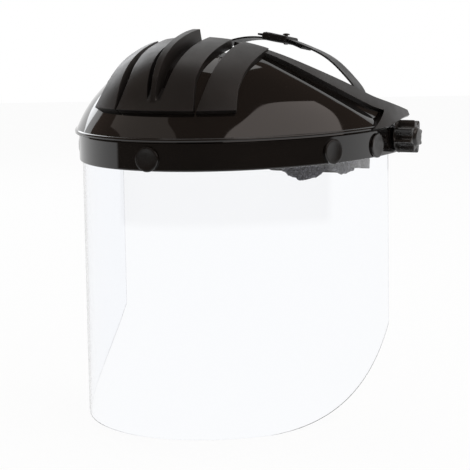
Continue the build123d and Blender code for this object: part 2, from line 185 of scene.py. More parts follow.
def addNode(tree, kind, settings=None, links=None):
    # one node with its property or input values, and its inputs linked from (node, output) pairs
    node = tree.nodes.new(kind)
    for key, value in (settings or {}).items():
        if isinstance(key, str) and hasattr(node, key):
            setattr(node, key, value)
        else:
            node.inputs[key].default_value = value
    for key, source in (links or {}).items():
        tree.links.new(source[0].outputs[source[1]], node.inputs[key])
    return node


def newMaterial(name):
    # a material with an empty node tree
    material = bpy.data.materials.new(name)
    material.use_nodes = True
    material.node_tree.nodes.clear()
    return material, material.node_tree


def rampNode(tree, source, stops):
    ramp = addNode(tree, "ShaderNodeValToRGB", links={"Fac": source})
    while len(ramp.color_ramp.elements) < len(stops):
        ramp.color_ramp.elements.new(0.5)
    for element, (place, colour) in zip(ramp.color_ramp.elements, stops):
        element.position, element.color = place, colour
    return ramp


def grey(value):
    return (value, value, value, 1)


def mouldedPlastic(name, look):
    # a moulded thermoplastic: base colour with faint flow mottling, roughness that wanders, a grain of real size in the bump
    material, tree = newMaterial(name)
    place = addNode(tree, "ShaderNodeTexCoord")
    cloudy = addNode(tree, "ShaderNodeTexNoise", {"Scale": 1000 / look["mottleMm"], "Detail": 3.0}, {"Vector": (place, "Object")})
    tint = rampNode(tree, (cloudy, 0), [(0.3, hexColour(look["dark"])), (0.7, hexColour(look["light"]))])
    handling = addNode(tree, "ShaderNodeTexNoise", {"Scale": 1000 / look["handlingMm"], "Detail": 6.0, "Roughness": 0.62}, {"Vector": (place, "Object")})
    rough = rampNode(tree, (handling, 0), [(0.35, grey(look["roughLow"])), (0.72, grey(look["roughHigh"]))])
    grain = addNode(tree, "ShaderNodeTexNoise", {"Scale": 1000 / look["grainMm"], "Detail": 2.0}, {"Vector": (place, "Object")})
    wave = addNode(tree, "ShaderNodeTexNoise", {"Scale": 1000 / look["waveMm"], "Detail": 1.0}, {"Vector": (place, "Object")})
    waveBump = addNode(tree, "ShaderNodeBump", {"Strength": look["waveStrength"], "Distance": look["waveDepthMm"] * mm}, {"Height": (wave, 0)})
    bump = addNode(tree, "ShaderNodeBump", {"Strength": look["grainStrength"], "Distance": look["grainDepthMm"] * mm},
                   {"Height": (grain, 0), "Normal": (waveBump, 0)})
    shader = addNode(tree, "ShaderNodeBsdfPrincipled", {"IOR": look["ior"]},
                     {"Base Color": (tint, 0), "Roughness": (rough, 0), "Normal": (bump, 0)})
    addNode(tree, "ShaderNodeOutputMaterial", links={"Surface": (shader, 0)})
    return material


plasticLooks = {
    # ABS straight from a polished tool: near-mirror, a slow orange peel bends the reflections a little
    "polishedAbs": {"dark": "0a0807", "light": "100d0b", "mottleMm": 60, "handlingMm": 25, "roughLow": 0.025, "roughHigh": 0.07,
                    "grainMm": 3.0, "grainStrength": 0.015, "grainDepthMm": 0.05, "waveMm": 34, "waveStrength": 0.04, "waveDepthMm": 0.4, "ior": 1.54},
    # the same ABS where the tool was spark eroded: satin, with a fine even grain drawn about 0.7 mm coarse so that it shows
    "erodedAbs": {"dark": "120f0d", "light": "1a1614", "mottleMm": 35, "handlingMm": 18, "roughLow": 0.4, "roughHigh": 0.5,
                  "grainMm": 0.7, "grainStrength": 0.25, "grainDepthMm": 0.12, "waveMm": 30, "waveStrength": 0.04, "waveDepthMm": 0.4, "ior": 1.46},
    # nylon studs: a little duller than the band that they sit on
    "nylonStud": {"dark": "0e0c0b", "light": "161311", "mottleMm": 12, "handlingMm": 8, "roughLow": 0.14, "roughHigh": 0.26,
                  "grainMm": 1.2, "grainStrength": 0.06, "grainDepthMm": 0.05, "waveMm": 9, "waveStrength": 0.03, "waveDepthMm": 0.2, "ior": 1.5},
    # glass-filled nylon knobs: semi-gloss with dull worn flutes
    "nylonKnob": {"dark": "110f0d", "light": "1c1917", "mottleMm": 9, "handlingMm": 7, "roughLow": 0.2, "roughHigh": 0.4,
                  "grainMm": 0.8, "grainStrength": 0.12, "grainDepthMm": 0.06, "waveMm": 12, "waveStrength": 0.03, "waveDepthMm": 0.2, "ior": 1.5},
    # low-density polyethylene straps: waxy, softly shining, with flow lines
    "waxyPolyethylene": {"dark": "100f0f", "light": "191817", "mottleMm": 22, "handlingMm": 14, "roughLow": 0.42, "roughHigh": 0.55,
                         "grainMm": 1.4, "grainStrength": 0.08, "grainDepthMm": 0.08, "waveMm": 16, "waveStrength": 0.08, "waveDepthMm": 0.4, "ior": 1.36},
}
polishedAbs, erodedAbs, nylonStud, nylonKnob, waxyPolyethylene = (mouldedPlastic(name, look) for name, look in plasticLooks.items())


def clearSheet():
    # extruded polycarbonate: colourless with a breath of blue, polished, fine wiping marks in its gloss
    material, tree = newMaterial("clearPolycarbonate")
    place = addNode(tree, "ShaderNodeTexCoord")
    stretch = addNode(tree, "ShaderNodeMapping", {"Scale": (1.0, 1.0, 0.12)}, {"Vector": (place, "Object")})
    wipes = addNode(tree, "ShaderNodeTexNoise", {"Scale": 260.0, "Detail": 4.0}, {"Vector": (stretch, "Vector")})
    rough = rampNode(tree, (wipes, 0), [(0.55, grey(0.004)), (0.85, grey(0.03))])
    shader = addNode(tree, "ShaderNodeBsdfPrincipled", {"Base Color": hexColour("fbfcfe"), "IOR": 1.585, "Transmission Weight": 1.0}, {"Roughness": (rough, 0)})
    addNode(tree, "ShaderNodeOutputMaterial", links={"Surface": (shader, 0)})
    return material


def terryCloth():
    # looped cotton terry: blue-grey yarn with random paler and darker patches and fuzz; its colour is also painted
    # lighter on the loop tips as a painted highlight and darker between the loops as painted shade
    material, tree = newMaterial("terryCloth")
    place = addNode(tree, "ShaderNodeTexCoord")
    loops = addNode(tree, "ShaderNodeTexVoronoi", {"Scale": 1000 / 1.7, "Randomness": 1.0}, {"Vector": (place, "Object")})
    fuzz = addNode(tree, "ShaderNodeTexNoise", {"Scale": 1000 / 0.8, "Detail": 3.0}, {"Vector": (place, "Object")})
    patches = addNode(tree, "ShaderNodeTexNoise", {"Scale": 1000 / 14.0, "Detail": 2.0}, {"Vector": (place, "Object")})
    height = addNode(tree, "ShaderNodeMath", {"operation": "MULTIPLY_ADD", 1: -0.9}, {0: (loops, "Distance"), 2: (fuzz, 0)})
    # the loop height that shapes the bump also sets the colour: painted shade between the loops, painted highlight on
    # the loop tips, mixed with random patches
    loopShadeAndPatches = addNode(tree, "ShaderNodeMath", {"operation": "MULTIPLY_ADD", 1: 0.35}, {0: (patches, 0), 2: (height, 0)})
    # dark end of the ramp is painted shade in the hollows, pale end is painted highlight on the loop tips
    tint = rampNode(tree, (loopShadeAndPatches, 0), [(0.12, hexColour("191a22")), (0.45, hexColour("44444f")), (0.74, hexColour("a3a2ac"))])
    bump = addNode(tree, "ShaderNodeBump", {"Strength": 0.9, "Distance": 0.9 * mm}, {"Height": (height, 0)})
    shader = addNode(tree, "ShaderNodeBsdfPrincipled", {"Roughness": 0.95, "Sheen Weight": 0.25, "Sheen Roughness": 0.5, "Specular IOR Level": 0.1},
                     {"Base Color": (tint, 0), "Normal": (bump, 0)})
    addNode(tree, "ShaderNodeOutputMaterial", links={"Surface": (shader, 0)})
    return material


def zincSteel():
    # bright zinc plate on turned steel: slightly blue, with fine turning rings
    material, tree = newMaterial("zincPlatedSteel")
    place = addNode(tree, "ShaderNodeTexCoord")
    blotch = addNode(tree, "ShaderNodeTexNoise", {"Scale": 1000 / 5.0, "Detail": 4.0}, {"Vector": (place, "Object")})
    tint = rampNode(tree, (blotch, 0), [(0.3, hexColour("a8adb2")), (0.7, hexColour("c3c6c8"))])
    rough = rampNode(tree, (blotch, 0), [(0.3, grey(0.24)), (0.7, grey(0.38))])
    fine = addNode(tree, "ShaderNodeTexNoise", {"Scale": 1000 / 0.5, "Detail": 1.0}, {"Vector": (place, "Object")})
    bump = addNode(tree, "ShaderNodeBump", {"Strength": 0.1, "Distance": 0.05 * mm}, {"Height": (fine, 0)})
    shader = addNode(tree, "ShaderNodeBsdfPrincipled", {"Metallic": 1.0}, {"Base Color": (tint, 0), "Roughness": (rough, 0), "Normal": (bump, 0)})
    addNode(tree, "ShaderNodeOutputMaterial", links={"Surface": (shader, 0)})
    return material


clearPolycarbonate, terry, zincPlate = clearSheet(), terryCloth(), zincSteel()
print("materials ready")


# the crown: ellipses at each height, all about the same widest line
crown = {
    "midY": -22.0, "rearEnd": 16.0, "wall": 2.8, "rimHeight": 21.4,
    "heights": [21.4, 32, 46, 58, 69, 78.5, 85.5, 90, 92],
    "halves": [125.0, 120.5, 111.5, 98.5, 84.0, 70.0, 56.0, 38.0, 16.0],
    "deeps": [175.0, 168.5, 159.0, 152.5, 145.0, 132.5, 113.0, 86.0, 50.0],
    "railY": [-116, -100, -88, -76, -57, -44, -30, -10, 16],
    "railZ": [93, 82, 73.6, 65.2, 52.8, 45.2, 40.5, 35.5, 29.5],
    "cutMiddle": -114.0, "cutSide": -105.0, "notchX": (27.2, 34.6), "notchY": -127.0,
    "rimRise": 4.5, "ribFloor": 41.2, "ribLift": 4.6, "valleyDeep": 1.6,
}
levelPlace = np.concatenate([[0], np.cumsum(np.hypot(np.diff(crown["deeps"]), np.diff(crown["heights"])))])
levelPlace /= levelPlace[-1]


def domeLevel(s):
    # half width, depth and height of the skin at s, from 0 at the rim to 1 at the top
    table = np.stack([crown["halves"], crown["deeps"], crown["heights"]], -1)
    level = splineAt(levelPlace, table, s)
    return level[..., 0], level[..., 1], level[..., 2]


def domePoint(t, s):
    # x = half sin t, y = mid - deep cos t, z = height, all three read at s
    half, deep, height = domeLevel(s)
    return np.stack([half * np.sin(t), crown["midY"] - deep * np.cos(t), height], -1)


def domeNormal(t, s):
    # outward normal: cross product of small steps along t and s
    e = 1e-3
    alongT = domePoint(t + e, s) - domePoint(t - e, s)
    alongS = domePoint(t, np.clip(s + e, 0, 1)) - domePoint(t, np.clip(s - e, 0, 1))
    out = np.cross(alongT, alongS)
    return out / np.linalg.norm(out, axis=-1, keepdims=True)


def railHeight(y):
    # smooth line through the rail's points, on at the same slope beyond them
    return splineAt(crown["railY"], crown["railZ"], np.clip(y, crown["railY"][0], crown["railY"][-1]))


def rimLift(y):
    # the rim climbs a little behind the last studs, to pass over the knobs
    return crown["rimRise"] * smoothStep(-48, 6, y)


def rearCut(x):
    # how far back the top of the crown reaches, a little further at the sides
    return crown["cutMiddle"] + (crown["cutSide"] - crown["cutMiddle"]) * smoothStep(4, 52, abs(x))


def openingReach(tOf, notched, count=500):
    # highest s on each line before it meets the opening: behind the rear cut and above the rail
    s = np.linspace(0, 1, count)[None, :]
    t = tOf(s)
    p = domePoint(t, np.broadcast_to(s, t.shape))
    x, y, z = p[..., 0], p[..., 1], p[..., 2]
    inNotch = smoothStep(crown["notchX"][0], crown["notchX"][0] + 0.5, abs(x)) * (1 - smoothStep(crown["notchX"][1] - 0.5, crown["notchX"][1], abs(x)))
    cut = rearCut(x) + (crown["notchY"] - rearCut(x)) * inNotch * notched
    overRail = np.where(y > crown["railY"][0], z - railHeight(y), 1.0) + 30 * inNotch * notched
    beyond = np.minimum(y - cut, overRail)
    hit = beyond > 0
    first = np.where(hit.any(1), hit.argmax(1), count - 1)
    row = np.arange(len(first))
    before = np.clip(first - 1, 0, None)
    b0, b1 = beyond[row, before], beyond[row, first]
    share = np.where(hit.any(1), np.clip(-b0 / np.where(b1 - b0 == 0, 1, b1 - b0), 0, 1), 1)
    return (before + share) / (count - 1)


def valley(y, z):
    # shallow hollow under the rail: gaussian across, fading out at both ends
    below = railHeight(y) - z
    drop = stripDrop(y)
    along = smoothStep(-112, -92, y) * (1 - smoothStep(-48, -30, y))
    return crown["valleyDeep"] * along * np.exp(-(((below - drop - 4.5) / 5.5) ** 2))


def stripDrop(y):
    # width of the satin strip below the rail, measured straight down
    return splineAt([-116, -100, -88, -76, -60, -46, -31], [5.5, 7.0, 11.0, 13.5, 13.0, 10.0, 7.2], np.clip(y, -116, -31))


def crownSkin():
    # grid over the angle t and the height s; the inner side lies one wall along the normal
    turn = np.linspace(-1, 1, 521)
    turn = np.sign(turn) * (0.75 * abs(turn) + 0.25 * abs(turn) ** 2)
    low = np.interp(crown["rimHeight"], crown["heights"], levelPlace)

    def angleOf(s):
        half, deep, height = domeLevel(np.broadcast_to(s, (len(turn), s.shape[-1])))
        return turn[:, None] * np.arccos(np.clip((crown["midY"] - crown["rearEnd"]) / deep, -1, 1))

    reach = openingReach(angleOf, 1)
    rimY = domePoint(angleOf(np.zeros(1)[None, :]), np.zeros((len(turn), 1)))[..., 1]
    start = np.interp(crown["rimHeight"] + rimLift(rimY)[:, 0], crown["heights"], levelPlace) - low
    rise = np.linspace(0, 1, 90)
    s = start[:, None] + (reach - start)[:, None] * rise[None, :]
    half, deep, height = domeLevel(s)
    t = turn[:, None] * np.arccos(np.clip((crown["midY"] - crown["rearEnd"]) / deep, -1, 1))
    skin = domePoint(t, s)
    normal = domeNormal(t, s)
    outer = skin - normal * valley(skin[..., 1], skin[..., 2])[..., None]
    inner = skin - normal * crown["wall"]
    inner[..., 2] = np.maximum(inner[..., 2], outer[:, :1, 2])
    points, faces = shellGrid(outer, inner)
    return makeMesh("crown_skin", points, faces, polishedAbs, "visor", 40)


def ribPanel(name, keys, material, rowsOf=110):
    # key lines, each an x against z and a lift against z, joined by straight columns; point = skin + normal * lift
    s0 = float(np.interp(crown["ribFloor"], crown["heights"], levelPlace))
    place = np.concatenate([np.linspace(k, k + 1, keys[k][2], endpoint=False) for k in range(len(keys) - 1)] + [[len(keys) - 1]])
    number = np.arange(len(keys))

    def atKeys(which, z):
        table = np.stack([np.interp(z, [p[0] for p in key[which]], [p[1] for p in key[which]]) for key in keys])
        base = np.clip(place.astype(int), 0, len(keys) - 2)
        part = (place - base)[:, None]
        return table[base] * (1 - part) + table[base + 1] * part

    heightOf = lambda s: domeLevel(s)[2]

    def angleOf(s):
        half = domeLevel(s[0])[0]
        return np.arcsin(np.clip(atKeys(0, heightOf(s[0])) / half, -1, 1))

    reach = openingReach(angleOf, 0)
    q = np.linspace(0, 1, rowsOf)
    s = s0 + (reach[:, None] - s0) * q[None, :]
    zEach = heightOf(s)
    column = np.arange(len(place))

    def tableAt(which):
        grid = np.stack([np.stack([np.interp(zEach, [p[0] for p in key[which]], [p[1] for p in key[which]]) for key in keys])])[0]
        base = np.clip(place.astype(int), 0, len(keys) - 2)
        part = (place - base)[:, None]
        return grid[base, column] * (1 - part) + grid[base + 1, column] * part

    x, lift = tableAt(0), tableAt(1)
    half = domeLevel(s)[0]
    t = np.arcsin(np.clip(x / half, -1, 1))
    skin, normal = domePoint(t, s), domeNormal(t, s)
    points, faces = shellGrid(skin + normal * lift[..., None], skin - normal * 2.2)
    rib = makeMesh(name, points, faces, material, "visor", 30)
    softenEdges(rib, 0.8, 3, 42)
    return rib


def softenEdges(thing, widthMm, segments=2, angle=40):
    bevel = thing.modifiers.new("Bevel", "BEVEL")
    bevel.width, bevel.segments, bevel.limit_method, bevel.angle_limit = widthMm * mm, segments, "ANGLE", math.radians(angle)
    bevel.harden_normals = False
    return bevel


def mirrorKeys(keys):
    # the same key lines on the other side, in the opposite order
    flipped = [([(z, -x) for z, x in k[0]], k[1]) for k in reversed(keys)]
    counts = [k[2] for k in keys[:-1]][::-1] + [1]
    return [(*f, c) for f, c in zip(flipped, counts)]


def railBand(name, side):
    # ruled patch on the crown's side between the rail and a lower outline, both given in y and z
    topY = np.array([-107, -98, -84, -63, -44, -30, -22, -8, 16.0])
    topP = np.array([0, 0.12, 0.25, 0.42, 0.56, 0.66, 0.74, 0.86, 1.0])
    lowP = np.array([0, 0.12, 0.25, 0.42, 0.56, 0.66, 0.76, 1.0])
    lowY = np.array([-106, -97, -84, -63, -46, -32, -62, 16.0])
    lowZ = np.array([0, 0, 0, 0, 0, 0, 1, 1.0])
    p = np.concatenate([np.linspace(0, 0.655, 120, endpoint=False), np.linspace(0.655, 0.765, 26, endpoint=False), np.linspace(0.765, 1, 30)])
    q = np.linspace(0, 1, 14)[None, :]
    yTop, yLow = np.interp(p, topP, topY), np.interp(p, lowP, lowY)
    zTop = railHeight(yTop) + 0.6
    onRim = np.interp(p, lowP, lowZ)
    cornerZ = railHeight(np.array(-32.0)) - stripDrop(np.array(-32.0))
    zLow = np.where(p < 0.66, railHeight(yLow) - stripDrop(yLow), cornerZ + (crown["rimHeight"] + 0.4 + rimLift(yLow) - cornerZ) * onRim)
    y = yLow[:, None] + (yTop - yLow)[:, None] * q
    z = zLow[:, None] + (zTop - zLow)[:, None] * q
    s = levelAtHeight(z)
    deep = domeLevel(s)[1]
    t = np.arccos(np.clip((crown["midY"] - y) / deep, -1, 1)) * side
    base, out = domePoint(t, s), domeNormal(t, s)
    points, faces = shellGrid(base + out * 3.0, base - out * 3.6)
    patch = makeMesh(name, points, faces, erodedAbs, "visor", 30)
    softenEdges(patch, 0.4, 3)
    return patch


def levelAtHeight(z):
    # s for a height, read from a fine table of the crown's heights
    fine = np.linspace(0, 1, 2001)
    return np.interp(z, domeLevel(fine)[2], fine)


crownSkinPiece = crownSkin()
lift = crown["ribLift"]
flat = [(30, lift), (110, lift)]
sunk = [(30, -1.2), (110, -1.2)]
outerKeys = [
    ([(41, 31.6), (60, 33.2), (76, 34.2), (100, 34.2)], sunk, 3),
    ([(41, 32.4), (60, 34.0), (76, 35.0), (100, 35.0)], flat, 12),
    ([(41, 56.6), (49, 54.6), (56, 53.0), (65, 52.2), (76, 52.4), (100, 51.6)], flat, 3),
    ([(41, 57.6), (49, 55.6), (56, 54.0), (65, 53.2), (76, 53.4), (100, 52.6)], sunk, 1),
]
groove = [(30, lift), (48.5, lift), (53, lift - 2.2), (60, -0.2), (100, -0.9)]
crest = [(30, lift), (47, lift), (54, lift + 2.6), (62, lift + 4.6), (74, 10.2), (88, 10.6), (94, 9.6), (99, 8.0)]
halfKeys = [
    ([(41, 0.0), (100, 0.0)], crest, 3),
    ([(41, 1.6), (60, 1.7), (76, 2.3), (100, 3.4)], crest, 3),
    ([(41, 2.6), (60, 2.8), (76, 3.6), (100, 4.8)], groove, 3),
    ([(41, 4.6), (50, 4.7), (60, 6.6), (72, 8.6), (81, 9.8), (90, 9.4), (100, 8.4)], groove, 3),
    ([(41, 5.2), (50, 5.3), (60, 7.4), (72, 9.4), (81, 10.6), (90, 10.2), (100, 9.2)], flat, 12),
    ([(41, 30.4), (52, 27.9), (63, 25.8), (74, 26.4), (84, 27.6), (100, 26.6)], flat, 3),
    ([(41, 31.4), (52, 28.9), (63, 26.8), (74, 27.4), (84, 28.6), (100, 27.6)], sunk, 1),
]
ribPanel("crown_rib_left_outer", outerKeys, erodedAbs)
ribPanel("crown_rib_right_outer", mirrorKeys(outerKeys), erodedAbs)
ribPanel("crown_rib_middle", mirrorKeys(halfKeys)[:-1] + halfKeys, erodedAbs)
railBand("crown_rail_left", 1)
railBand("crown_rail_right", -1)


def planArc(half, deep, backY, count):
    # points of the ellipse x = half sin t, y = mid - deep cos t, as far back as backY on both sides, with outward normals
    end = math.acos((crown["midY"] - backY) / deep)
    t = np.linspace(-end, end, count)
    points = np.stack([half * np.sin(t), crown["midY"] - deep * np.cos(t), np.zeros(count)], -1)
    out = np.stack([np.sin(t) / half, -np.cos(t) / deep, np.zeros(count)], -1)
    return points, out / np.linalg.norm(out, axis=1, keepdims=True)


def ringPiece(name, half, deep, inner, outer, low, high, radius, backY, material, climbs=0, count=241):
    # rounded rectangle between inner and outer offsets and two heights, carried round the plan
    path, out = planArc(half, deep, backY, count)
    path[:, 2] += climbs * rimLift(path[:, 1])
    profile = roundedLoop(outer - inner, high - low, radius) + [(inner + outer) / 2, (low + high) / 2]
    up = np.broadcast_to([0.0, 0.0, 1.0], path.shape)
    points, faces = sweptGrid(path, out, up, profile)
    return makeMesh(name, points, faces, material, "visor", 40)


band = {"half": 122.0, "deep": 172.0, "wall": 2.2, "tall": 21.0, "windowWall": 1.5, "gap": 0.2}
ringPiece("crown_rim", band["half"], band["deep"], -1.2, 3.1, 21.4, 24.4, 1.3, 16, polishedAbs, climbs=1)
ringPiece("crown_shelf", band["half"], band["deep"], -6.2, -0.6, 21.6, 24.0, 0.5, 16, polishedAbs, climbs=1)
ringPiece("crown_skirt", band["half"], band["deep"], -6.3, -4.1, 2.0, 23.0, 0.7, 16, polishedAbs)
bandPiece = ringPiece("window_band_ring", band["half"], band["deep"], -2.2, 0.0, 0.0, 21.0, 0.95, 16, polishedAbs)
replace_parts(bandPiece, "window_band")
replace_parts(crownSkinPiece, "crown_shell")


def windowSheet():
    # outer and inner ellipse walls from the band down to the lower outline, a circle through three points at the corners
    count, rows = 261, 90
    (x1, y1), (x2, y2), (x3, y3) = (-152.0, -199.0), (-72.0, -175.0), (-22.0, -133.0)
    system = np.array([[2 * (x2 - x1), 2 * (y2 - y1)], [2 * (x3 - x1), 2 * (y3 - y1)]])
    centre = np.linalg.solve(system, [x2**2 + y2**2 - x1**2 - y1**2, x3**2 + y3**2 - x1**2 - y1**2])
    radius = math.hypot(x1 - centre[0], y1 - centre[1])
    t = np.linspace(-1, 1, count)
    t = np.sign(t) * (1 - (1 - abs(t)) ** 1.25) * math.pi / 2
    walls = []
    for inset in (band["wall"] + band["gap"], band["wall"] + band["gap"] + band["windowWall"]):
        half, deep = band["half"] - inset, band["deep"] - inset
        x, y = half * np.sin(t), crown["midY"] - deep * np.cos(t)
        low = np.where(y < x1, y1, centre[1] - np.sqrt(np.clip(radius**2 - (y - centre[0]) ** 2, 0, None)))
        v = np.linspace(0, 1, rows)[None, :]
        z = 21.0 + (low[:, None] - 21.0) * v
        walls.append(np.stack([np.repeat(x[:, None], rows, 1), np.repeat(y[:, None], rows, 1), z], -1))
    points, faces = shellGrid(walls[0], walls[1])
    sheet = makeMesh("window_sheet", points, faces, clearPolycarbonate, "visor", 40)
    softenEdges(sheet, 0.35, 2, 60)
    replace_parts(sheet, "window")
    return sheet


windowSheet()
print("crown, band and window made")


# studs: shallow round buttons with a soft rim
stud = {"radius": 9.4, "thick": 1.7, "height": 9.0, "dish": 0.25}
studPlaces = {"front": (0, -194.0), "left_fore": (1, -103.5), "left_aft": (1, -49.0), "right_fore": (-1, -103.5), "right_aft": (-1, -49.0)}


def studButton(key, side, y):
    # radius and height along the button's profile: dished middle, rounded rim, straight side
    x = side * band["half"] * math.sqrt(max(0, 1 - ((y - crown["midY"]) / band["deep"]) ** 2))
    out = np.array([x / band["half"] ** 2, (y - crown["midY"]) / band["deep"] ** 2, 0])
    out /= np.linalg.norm(out)
    corner = np.linspace(0, math.pi / 2, 7)
    r = np.concatenate([[0, 3, 6, 7.6], stud["radius"] - 0.7 + 0.7 * np.sin(corner), [stud["radius"], 0]])
    h = np.concatenate([stud["thick"] - stud["dish"] * np.array([1, 0.9, 0.5, 0.1]), stud["thick"] - 0.7 + 0.7 * np.cos(corner), [-0.6, -0.6]])
    points, faces = lathedGrid(r, h, 72)
    across = np.array([-out[1], out[0], 0])
    points = placed(points, np.array([x, y, stud["height"]]) + out * 0.05, across, np.array([0, 0, 1.0]), out)
    button = makeMesh(f"stud_head_{key}", points, faces, nylonStud, "visor", 40)
    return button


for key, (side, y) in studPlaces.items():
    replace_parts(studButton(key, side, y), f"stud_{key}")

pivot = {"y": -11.0, "z": 13.0, "tilt": 7.5, "knobFace": 122.5}


def harnessPoint(x, v, w):
    # the harness hangs tilted about the pivots: x across, v back along the head, w up
    a = math.radians(pivot["tilt"])
    x, v, w = np.broadcast_arrays(x, v, w)
    return np.stack([x, pivot["y"] + v * math.cos(a) + w * math.sin(a), pivot["z"] - v * math.sin(a) + w * math.cos(a)], -1)


harnessBack = harnessPoint(0.0, 1.0, 0.0) - harnessPoint(0.0, 0.0, 0.0)
harnessUp = harnessPoint(0.0, 0.0, 1.0) - harnessPoint(0.0, 0.0, 0.0)


def flutedKnob(name, origin, xDir, yDir, zDir, look, material, body):
    # rings of a rounded drum, each scaled by 1 - depth * flute(angle), flutes fading out over the end face
    corner = np.linspace(0, math.pi / 2, 8)
    radius, depth, rounding = look["radius"], look["depth"], look["corner"]
    face = radius * np.array([0.72, 0.6, 0.52, 0.46, 0.3, 0])
    edge = radius - rounding + rounding * np.sin(corner[::-1])
    r = np.concatenate([[0, radius - 2.2, radius - 2.0, radius - 0.6, radius, radius], edge, face])
    faceHeight = depth + look["boss"] * np.array([0, 0, 0.6, 1, 1.05, 1.1])
    edgeHeight = depth - rounding + rounding * np.cos(corner[::-1])
    h = np.concatenate([[0, 0, 0.2, 2.0, 2.6, 3.2], edgeHeight, faceHeight])
    turns = look["flutes"] * 24
    angle = np.linspace(0, 2 * math.pi, turns, endpoint=False)
    flute = (0.5 + 0.5 * np.cos(look["flutes"] * angle)) ** look["sharp"]
    amount = smoothStep(2.0, 3.4, h) * smoothStep(radius * 0.5, radius * 0.8, r)
    scale = 1 - look["fluteShare"] * amount[:, None] * flute[None, :]
    points, faces = lathedGrid(r, h, turns, scale)
    return makeMesh(name, placed(points, origin, xDir, yDir, zDir), faces, material, body, 38)


sideKnob = {"radius": 13.5, "depth": 16.5, "corner": 1.4, "boss": 1.6, "flutes": 8, "sharp": 0.75, "fluteShare": 0.3}
for side, word in ((1.0, "left"), (-1.0, "right")):
    knob = flutedKnob(f"side_knob_{word}", np.array([side * pivot["knobFace"], pivot["y"], pivot["z"]]), harnessBack * side, harnessUp,
                      np.array([side, 0, 0]), sideKnob, nylonKnob, f"knob_{word}")
    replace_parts(knob, f"pivot_knob_{word}")

harness = {"half": 79.0, "deep": 100.0, "mid": 11.0, "wall": 2.0}


def harnessArc(half, deep, endV, count, power=1.0):
    # ellipse in the harness plane from the front round to v = endV on both sides
    end = math.acos((harness["mid"] - endV) / deep)
    t = np.linspace(-1, 1, count) * end
    return half * np.sin(t), harness["mid"] - deep * np.cos(t), t


def headbandPiece():
    # wall between two ellipses; its lower and upper edges follow outlines given against v
    topV, topW = [-150, -24, -10, 0, 30, 34, 46], [0.5, 0.5, 8.5, 16, 16, 10, -7.5]
    x, v, t = harnessArc(harness["half"], harness["deep"], 46, 301)
    xi, vi, ti = harnessArc(harness["half"] - 2.0, harness["deep"] - 2.0, 46, 301)
    low = -27.5 + 2 * smoothStep(-150, 46, v)
    soft = np.convolve(np.pad(np.interp(v, topV, topW), 6, "edge"), np.ones(13) / 13, "valid")
    q = np.linspace(0, 1, 24)
    w = low[:, None] + (soft - low)[:, None] * q
    bead = 0.7 * (np.exp(-((w + 24) / 1.1) ** 2) + np.exp(-((w - soft[:, None] + 3.2) / 1.1) ** 2))
    outer = harnessPoint(x[:, None] * (1 + bead / 90), v[:, None] + (v[:, None] - harness["mid"]) * bead / 100, w)
    inner = harnessPoint(np.repeat(xi[:, None], 24, 1), np.repeat(vi[:, None], 24, 1), w)
    points, faces = shellGrid(outer, inner)
    piece = makeMesh("headband_strip", points, faces, waxyPolyethylene, "harness", 40)
    softenEdges(piece, 0.5, 2)
    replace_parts(piece, "headband")


headbandPiece()

nearLine = [
    (81.1, -1), (81.1, 12), (84.7, 30), (73.6, 46.7), (55.5, 61.8),
    (34, 71.4), (21.4, 75.7), (10.5, 78.3), (2, 79.7), (-5, 80.2),
]
farLine = [
    (-81.1, -1), (-81.1, 12), (-84.7, 28), (-74, 47), (-60, 61.5),
    (-36.7, 72.6), (-22, 76.6), (-8, 77.7), (2, 77.0), (10.5, 75.9),
    (21.4, 73.6), (34, 69.0),
]


def overHeadStrap(name, knots, node):
    # flat strap with rounded edges along a smooth line in the plane v = 17
    line = smoothLine(knots, 121)
    path = harnessPoint(line[:, 0], 17.0, line[:, 1])
    along = np.gradient(path, axis=0)
    along /= np.linalg.norm(along, axis=1, keepdims=True)
    back = np.broadcast_to(harnessBack, path.shape)
    out = np.cross(along, back)
    points, faces = sweptGrid(path, back, out, roundedLoop(20, 1.5, 0.6, 4))
    strap = makeMesh(name, points, faces, waxyPolyethylene, "harness", 40)
    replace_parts(strap, node)


overHeadStrap("over_strap_left", nearLine, "crown_strap_left")
overHeadStrap("over_strap_right", farLine, "crown_strap_right")

backKnob = {"radius": 17.2, "depth": 14.5, "corner": 2.2, "boss": 0.4, "flutes": 12, "sharp": 0.7, "fluteShare": 0.13}
knob = flutedKnob("size_knob", harnessPoint(0, 114.9, -14.5), np.array([-1.0, 0, 0]), harnessUp, harnessBack, backKnob, nylonKnob, "ratchet")
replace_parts(knob, "ratchet_knob")

clasp = {"centre": (10.5, 77.1), "slope": -9.0, "long": 22.0, "wide": 25.0, "tall": 6.2, "holeX": 16.0, "pinLow": 73.4, "pinHigh": 80.9, "pinRadius": 3.0}


def claspPoint(a, v, w):
    # a runs along the strap and w out of it, both turned by the slope about the clasp's centre
    turn = math.radians(clasp["slope"])
    x = clasp["centre"][0] + a * math.cos(turn) - w * math.sin(turn)
    return harnessPoint(x, v, clasp["centre"][1] + a * math.sin(turn) + w * math.cos(turn))


def strapClasp():
    # rounded sleeve over the crossing straps: end rings drawn in, three finger ridges standing on top
    a = np.linspace(-0.5, 0.5, 61) * clasp["long"]
    tip = np.sqrt(np.clip(1 - np.clip((abs(a) - (clasp["long"] / 2 - 1.6)) / 1.6, 0, 1) ** 2, 0.02, 1))
    section = roundedLoop(clasp["wide"], clasp["tall"], 1.5, 7)
    shrink = (1 - tip)[:, None] * 1.4
    v = 17.0 + section[None, :, 0] * (1 - shrink * 2 / clasp["wide"])
    ridge = 0.45 * np.exp(-(((a[:, None] + 5.5 + np.array([[-2.4, 0, 2.4]])) / 0.6) ** 2)).sum(1)[:, None]
    w = section[None, :, 1] * (1 - shrink * 2 / clasp["tall"]) + ridge * (section[None, :, 1] > 2.4)
    grid = claspPoint(np.broadcast_to(a[:, None], v.shape), v, w)
    faces = cappedTube(*grid.shape[:2])
    piece = makeMesh("strap_clasp", grid.reshape(-1, 3), faces, waxyPolyethylene, "harness", 40)
    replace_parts(piece, "strap_buckle")


